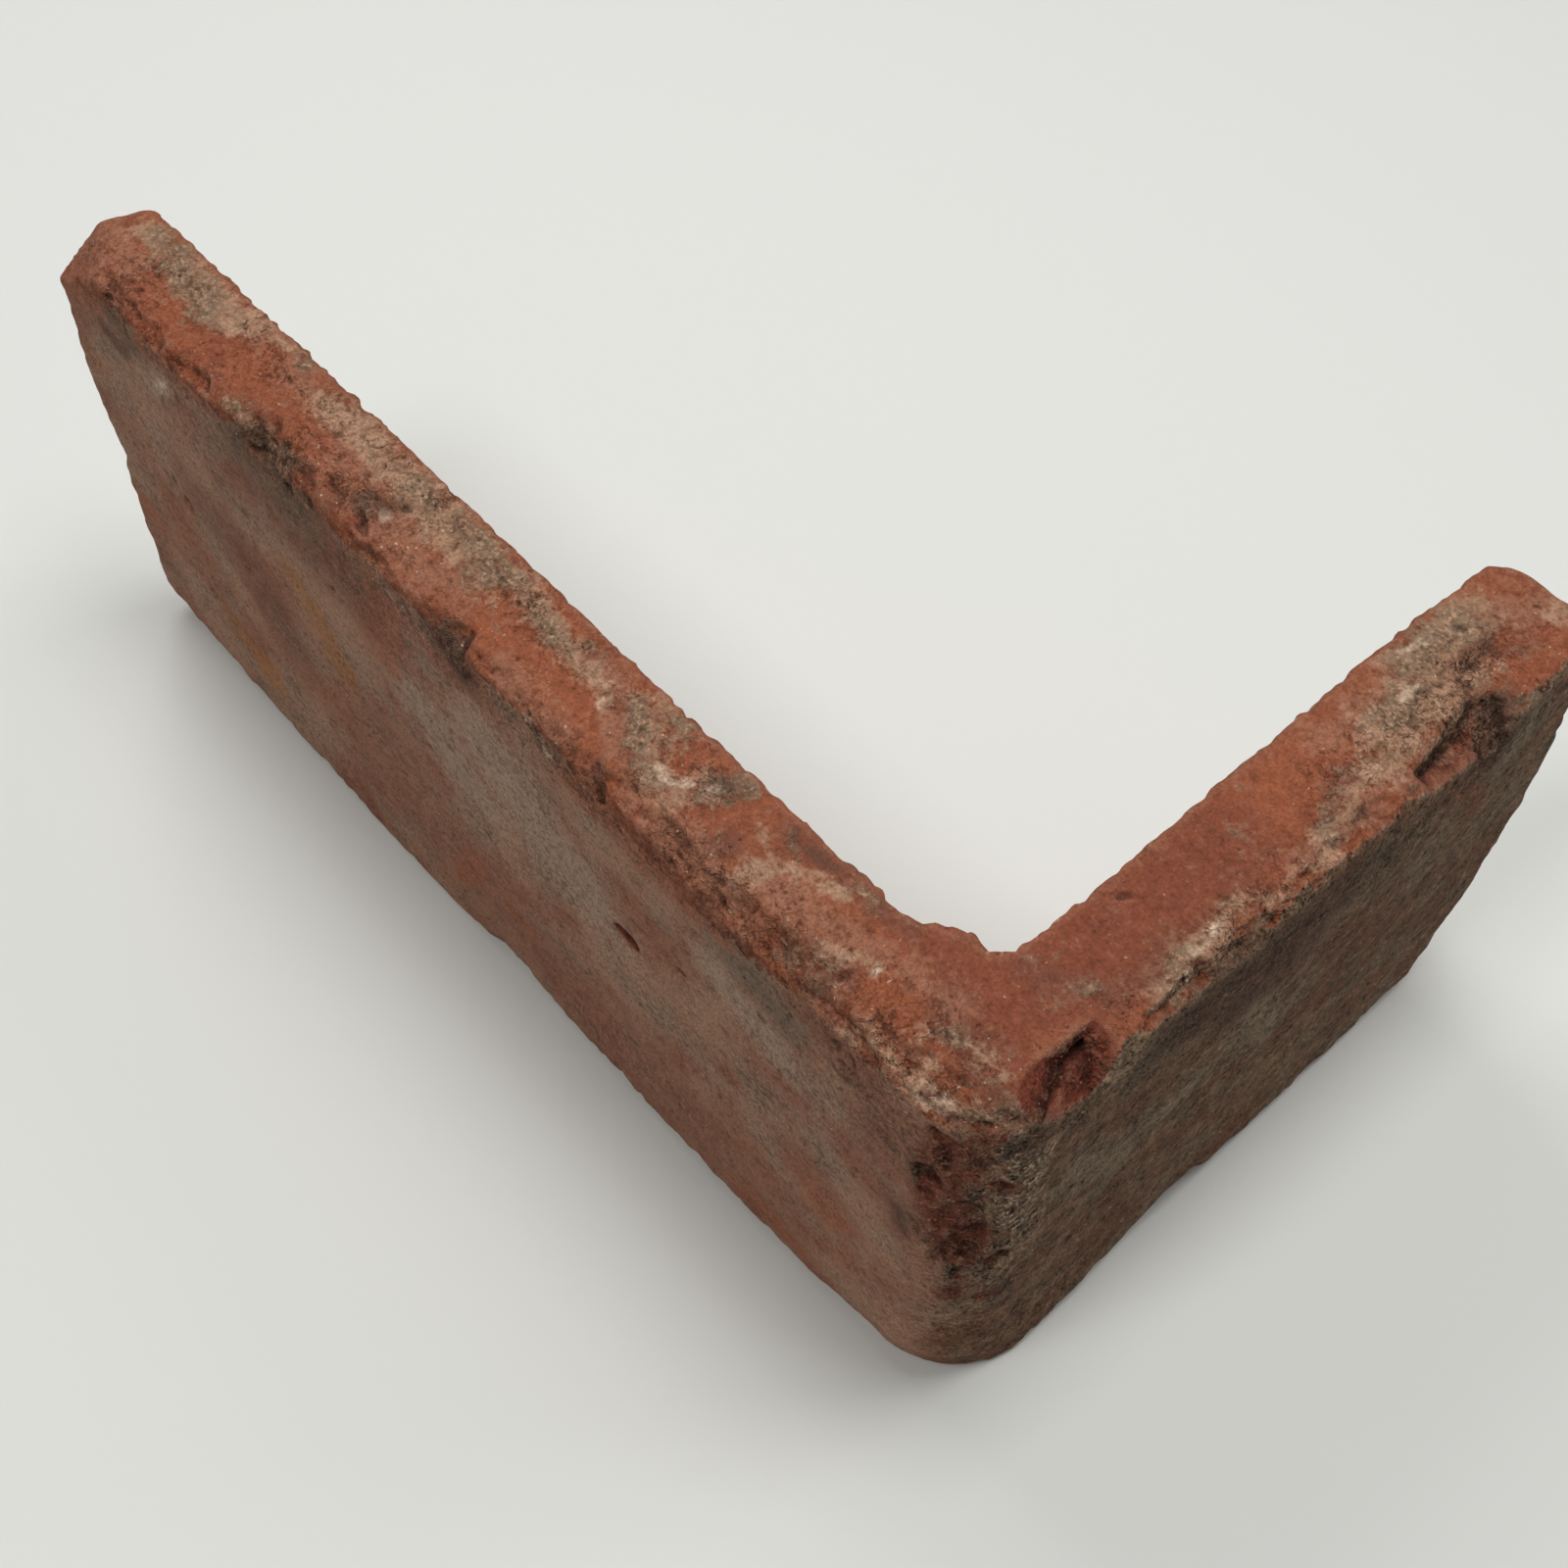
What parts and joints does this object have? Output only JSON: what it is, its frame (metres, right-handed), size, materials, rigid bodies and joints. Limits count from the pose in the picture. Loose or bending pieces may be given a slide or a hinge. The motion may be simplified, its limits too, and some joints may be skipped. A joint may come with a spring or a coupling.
{
  "type": "corner brick slip",
  "caption": "L-shaped corner slip sawn from a reclaimed clay brick, with a worn stretcher face and header face and flat sawn backs.",
  "frame": {"origin": "bottom centre of the bounding box, on the level of the lower bed", "axes": "+X along the long leg towards the outer corner, +Y along the short leg away from the outer corner, +Z from the lower bed to the upper bed"},
  "size_m": [0.2, 0.115, 0.088],
  "materials": {
    "fired_clay": "matt, gritty red clay, orange-red on the bed and brown-grey on the weathered faces, with grey lime mortar left on the bed"
  },
  "bodies": {
    "root": {"corner_slip": "fired_clay"}
  },
  "joints": []
}
